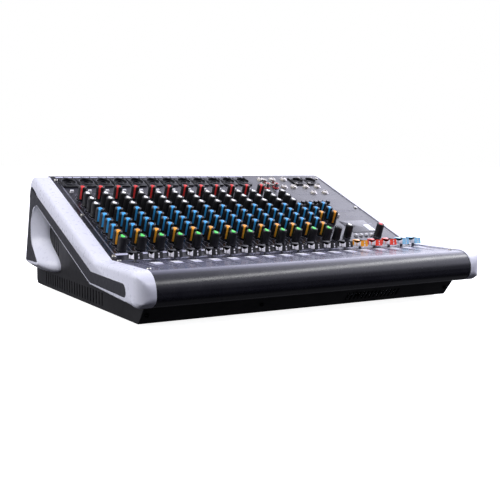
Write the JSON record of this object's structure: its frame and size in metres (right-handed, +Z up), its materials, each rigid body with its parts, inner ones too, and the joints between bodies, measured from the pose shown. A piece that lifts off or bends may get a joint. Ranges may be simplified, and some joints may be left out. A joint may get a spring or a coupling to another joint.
{
  "type": "mixing console",
  "caption": "Desk-top audio mixing console: sloping black panel of rotary knobs over a fader deck with a rolled front, between white moulded cheeks with grip openings.",
  "frame": {"origin": "on the supporting surface, under the middle of the console", "axes": "+Z up; +X along the width, to the operator's right; the operator stands at -Y"},
  "size_m": [0.55, 0.467, 0.1781],
  "materials": {
    "board_green": "lacquered board",
    "bright_metal": "bright nickel",
    "button_white": "satin",
    "case_black": "satin powder coat",
    "cheek_white": "smooth moulded gloss",
    "copper_winding": "taped winding",
    "display_window": "gloss window",
    "fader_black": "gloss with a pale index line",
    "fader_blue": "gloss",
    "fader_orange": "gloss",
    "fader_red": "gloss",
    "foot_rubber": "matte",
    "inlay_charcoal": "fine matte grain",
    "knob_black": "soft satin with a coloured pointer",
    "painted_black": "fine textured powder coat",
    "ribbon_grey": "satin",
    "socket_black": "satin moulded",
    "zinc": "plated"
  },
  "bodies": {
    "console": {"aux_knobs": "knob_black", "bottom_pan": "case_black", "case_screws": "bright_metal", "channel_board": "board_green", "combo_sockets": "socket_black", "control_panel": "painted_black", "effect_knobs": "knob_black", "eq_knobs": "knob_black", "equaliser_sliders": "button_white", "fader_board": "board_green", "fader_tracks": "zinc", "gain_knobs": "knob_black", "jack_sockets": "bright_metal", "left_cheek": "cheek_white", "left_cheek_inlay": "inlay_charcoal", "mains_transformer": "copper_winding", "master_knobs": "knob_black", "media_display": "display_window", "pan_knobs": "knob_black", "potentiometers": "zinc", "power_inlet": "socket_black", "power_supply": "board_green", "push_buttons": "button_white", "rca_sockets": "socket_black", "rear_panel": "case_black", "ribbon_cables": "ribbon_grey", "right_cheek": "cheek_white", "right_cheek_inlay": "inlay_charcoal", "rubber_feet": "foot_rubber", "xlr_outputs": "socket_black"},
    "channel_fader_01": {"channel_fader_01": "fader_black"},
    "channel_fader_02": {"channel_fader_02": "fader_black"},
    "channel_fader_03": {"channel_fader_03": "fader_black"},
    "channel_fader_04": {"channel_fader_04": "fader_black"},
    "channel_fader_05": {"channel_fader_05": "fader_black"},
    "channel_fader_06": {"channel_fader_06": "fader_black"},
    "channel_fader_07": {"channel_fader_07": "fader_black"},
    "channel_fader_08": {"channel_fader_08": "fader_black"},
    "channel_fader_09": {"channel_fader_09": "fader_black"},
    "channel_fader_10": {"channel_fader_10": "fader_black"},
    "channel_fader_11": {"channel_fader_11": "fader_black"},
    "channel_fader_12": {"channel_fader_12": "fader_black"},
    "channel_fader_13": {"channel_fader_13": "fader_black"},
    "effect_fader": {"effect_fader": "fader_orange"},
    "group_fader_1": {"group_fader_1": "fader_red"},
    "group_fader_2": {"group_fader_2": "fader_red"},
    "main_fader_left": {"main_fader_left": "fader_blue"},
    "main_fader_right": {"main_fader_right": "fader_blue"},
    "channel_1_pan_knob": {"channel_1_pan_knob": "knob_black"},
    "channel_1_effect_knob": {"channel_1_effect_knob": "knob_black"},
    "channel_1_aux_4_knob": {"channel_1_aux_4_knob": "knob_black"},
    "channel_1_aux_3_knob": {"channel_1_aux_3_knob": "knob_black"},
    "channel_1_aux_2_knob": {"channel_1_aux_2_knob": "knob_black"},
    "channel_1_aux_1_knob": {"channel_1_aux_1_knob": "knob_black"},
    "channel_1_low_knob": {"channel_1_low_knob": "knob_black"},
    "channel_1_mid_knob": {"channel_1_mid_knob": "knob_black"},
    "channel_1_high_knob": {"channel_1_high_knob": "knob_black"},
    "channel_1_gain_knob": {"channel_1_gain_knob": "knob_black"},
    "channel_1_button": {"channel_1_button": "button_white"},
    "power_rocker": {"power_rocker": "socket_black"}
  },
  "joints": [
    {"name": "channel_fader_01_slide", "type": "slide", "parent": "console", "child": "channel_fader_01", "axis": [0, 1, 0], "range_m": [-0.0685, 0.0045]},
    {"name": "channel_fader_02_slide", "type": "slide", "parent": "console", "child": "channel_fader_02", "axis": [0, 1, 0], "range_m": [-0.0685, 0.0045]},
    {"name": "channel_fader_03_slide", "type": "slide", "parent": "console", "child": "channel_fader_03", "axis": [0, 1, 0], "range_m": [-0.0685, 0.0045]},
    {"name": "channel_fader_04_slide", "type": "slide", "parent": "console", "child": "channel_fader_04", "axis": [0, 1, 0], "range_m": [-0.0685, 0.0045]},
    {"name": "channel_fader_05_slide", "type": "slide", "parent": "console", "child": "channel_fader_05", "axis": [0, 1, 0], "range_m": [-0.0685, 0.0045]},
    {"name": "channel_fader_06_slide", "type": "slide", "parent": "console", "child": "channel_fader_06", "axis": [0, 1, 0], "range_m": [-0.0685, 0.0045]},
    {"name": "channel_fader_07_slide", "type": "slide", "parent": "console", "child": "channel_fader_07", "axis": [0, 1, 0], "range_m": [-0.0685, 0.0045]},
    {"name": "channel_fader_08_slide", "type": "slide", "parent": "console", "child": "channel_fader_08", "axis": [0, 1, 0], "range_m": [-0.0685, 0.0045]},
    {"name": "channel_fader_09_slide", "type": "slide", "parent": "console", "child": "channel_fader_09", "axis": [0, 1, 0], "range_m": [-0.0685, 0.0045]},
    {"name": "channel_fader_10_slide", "type": "slide", "parent": "console", "child": "channel_fader_10", "axis": [0, 1, 0], "range_m": [-0.0685, 0.0045]},
    {"name": "channel_fader_11_slide", "type": "slide", "parent": "console", "child": "channel_fader_11", "axis": [0, 1, 0], "range_m": [-0.0685, 0.0045]},
    {"name": "channel_fader_12_slide", "type": "slide", "parent": "console", "child": "channel_fader_12", "axis": [0, 1, 0], "range_m": [-0.0685, 0.0045]},
    {"name": "channel_fader_13_slide", "type": "slide", "parent": "console", "child": "channel_fader_13", "axis": [0, 1, 0], "range_m": [-0.0685, 0.0045]},
    {"name": "effect_fader_slide", "type": "slide", "parent": "console", "child": "effect_fader", "axis": [0, 1, 0], "range_m": [-0.0685, 0.0045]},
    {"name": "group_fader_1_slide", "type": "slide", "parent": "console", "child": "group_fader_1", "axis": [0, 1, 0], "range_m": [-0.0685, 0.0045]},
    {"name": "group_fader_2_slide", "type": "slide", "parent": "console", "child": "group_fader_2", "axis": [0, 1, 0], "range_m": [-0.0685, 0.0045]},
    {"name": "main_fader_left_slide", "type": "slide", "parent": "console", "child": "main_fader_left", "axis": [0, 1, 0], "range_m": [-0.0685, 0.0045]},
    {"name": "main_fader_right_slide", "type": "slide", "parent": "console", "child": "main_fader_right", "axis": [0, 1, 0], "range_m": [-0.0685, 0.0045]},
    {"name": "channel_1_pan_knob_turn", "type": "hinge", "parent": "console", "child": "channel_1_pan_knob", "pos_m": [-0.228, -0.07378, 0.09276], "axis": [0, 0.3746, -0.9272], "range_deg": [-150, 150]},
    {"name": "channel_1_effect_knob_turn", "type": "hinge", "parent": "console", "child": "channel_1_effect_knob", "pos_m": [-0.228, -0.05747, 0.09935], "axis": [0, 0.3746, -0.9272], "range_deg": [0, 300]},
    {"name": "channel_1_aux_4_knob_turn", "type": "hinge", "parent": "console", "child": "channel_1_aux_4_knob", "pos_m": [-0.228, -0.04115, 0.10595], "axis": [0, 0.3746, -0.9272], "range_deg": [0, 300]},
    {"name": "channel_1_aux_3_knob_turn", "type": "hinge", "parent": "console", "child": "channel_1_aux_3_knob", "pos_m": [-0.228, -0.02483, 0.11254], "axis": [0, 0.3746, -0.9272], "range_deg": [0, 300]},
    {"name": "channel_1_aux_2_knob_turn", "type": "hinge", "parent": "console", "child": "channel_1_aux_2_knob", "pos_m": [-0.228, -0.00851, 0.11913], "axis": [0, 0.3746, -0.9272], "range_deg": [0, 300]},
    {"name": "channel_1_aux_1_knob_turn", "type": "hinge", "parent": "console", "child": "channel_1_aux_1_knob", "pos_m": [-0.228, 0.00781, 0.12573], "axis": [0, 0.3746, -0.9272], "range_deg": [0, 300]},
    {"name": "channel_1_low_knob_turn", "type": "hinge", "parent": "console", "child": "channel_1_low_knob", "pos_m": [-0.228, 0.02413, 0.13232], "axis": [0, 0.3746, -0.9272], "range_deg": [-150, 150]},
    {"name": "channel_1_mid_knob_turn", "type": "hinge", "parent": "console", "child": "channel_1_mid_knob", "pos_m": [-0.228, 0.04044, 0.13891], "axis": [0, 0.3746, -0.9272], "range_deg": [-150, 150]},
    {"name": "channel_1_high_knob_turn", "type": "hinge", "parent": "console", "child": "channel_1_high_knob", "pos_m": [-0.228, 0.05676, 0.14551], "axis": [0, 0.3746, -0.9272], "range_deg": [-150, 150]},
    {"name": "channel_1_gain_knob_turn", "type": "hinge", "parent": "console", "child": "channel_1_gain_knob", "pos_m": [-0.228, 0.07864, 0.15435], "axis": [0, 0.3746, -0.9272], "range_deg": [0, 300]},
    {"name": "channel_1_button_press", "type": "slide", "parent": "console", "child": "channel_1_button", "axis": [0, 0.3746, -0.9272], "range_m": [0, 0.0015], "stiffness_N_per_m": 150},
    {"name": "power_rocker_tilt", "type": "hinge", "parent": "console", "child": "power_rocker", "pos_m": [-0.172, 0.20772, 0.08439], "axis": [1, 0, 0], "range_deg": [-20, 0]}
  ]
}
